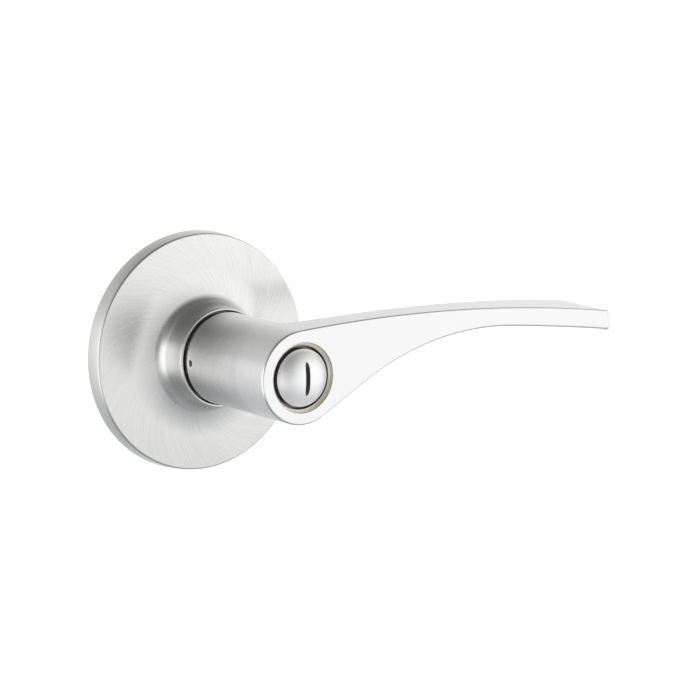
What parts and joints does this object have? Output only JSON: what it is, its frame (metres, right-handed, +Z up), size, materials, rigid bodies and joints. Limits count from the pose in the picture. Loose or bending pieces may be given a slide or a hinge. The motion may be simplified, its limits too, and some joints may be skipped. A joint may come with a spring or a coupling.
{
  "type": "door lever handle",
  "caption": "Outside half of a privacy door lever set: round rose with trumpet collar, curved lever, slotted emergency turn, return spring and square spindle.",
  "frame": {"origin": "on the spindle axis in the plane of the door's face", "axes": "+Z up, -Y out of the door into the room, +X along the lever"},
  "size_m": [0.14, 0.1041, 0.0678],
  "materials": {
    "satin_rose": "satin chrome plate, swirl brushed",
    "satin_lever": "satin chrome plate, fine brushed",
    "satin_button": "satin chrome plate, bead smooth",
    "nickel_ring": "warm turned nickel",
    "zinc_plated_steel": "bright zinc plate",
    "cast_zinc": "as-cast grey",
    "spring_steel": "oiled wire",
    "black_steel": "phosphate black",
    "white_nylon": "natural nylon",
    "brass_catch": "plain brass"
  },
  "bodies": {
    "door_side": {"rose_cover": "satin_rose", "mounting_plate": "zinc_plated_steel", "bearing_collar": "cast_zinc", "nylon_bushing": "white_nylon", "through_post_left": "zinc_plated_steel", "through_post_right": "zinc_plated_steel", "collar_screws": "zinc_plated_steel", "return_spring": "spring_steel"},
    "lever_side": {"lever": "satin_lever", "thrust_washer": "white_nylon", "drive_sleeve": "zinc_plated_steel", "drive_plug": "cast_zinc", "driver_cam": "zinc_plated_steel", "retainer_washer": "spring_steel", "circlip": "black_steel", "spindle": "zinc_plated_steel", "insert_housing": "cast_zinc", "detent_ball": "spring_steel", "detent_spring": "spring_steel", "privacy_bezel": "nickel_ring", "catch_spring": "spring_steel"},
    "catch": {"lever_catch": "brass_catch"},
    "privacy_turn": {"turn_button": "satin_button", "torque_blade": "zinc_plated_steel", "turn_clip": "black_steel"}
  },
  "joints": [
    {"name": "lever_turn", "type": "hinge", "parent": "door_side", "child": "lever_side", "pos_m": [0, 0, 0], "axis": [0, 1, 0], "range_deg": [-50, 50], "stiffness_Nm_per_rad": 1.5, "springref_deg": -1.72, "deforming": ["return_spring"]},
    {"name": "catch_press", "type": "slide", "parent": "lever_side", "child": "catch", "axis": [1, 0, 0], "range_m": [0, 0.0031], "stiffness_N_per_m": 150, "springref_m": -0.008, "deforming": ["catch_spring"]},
    {"name": "privacy_turn", "type": "hinge", "parent": "lever_side", "child": "privacy_turn", "pos_m": [0, 0, 0], "axis": [0, -1, 0], "range_deg": [0, 90]}
  ]
}
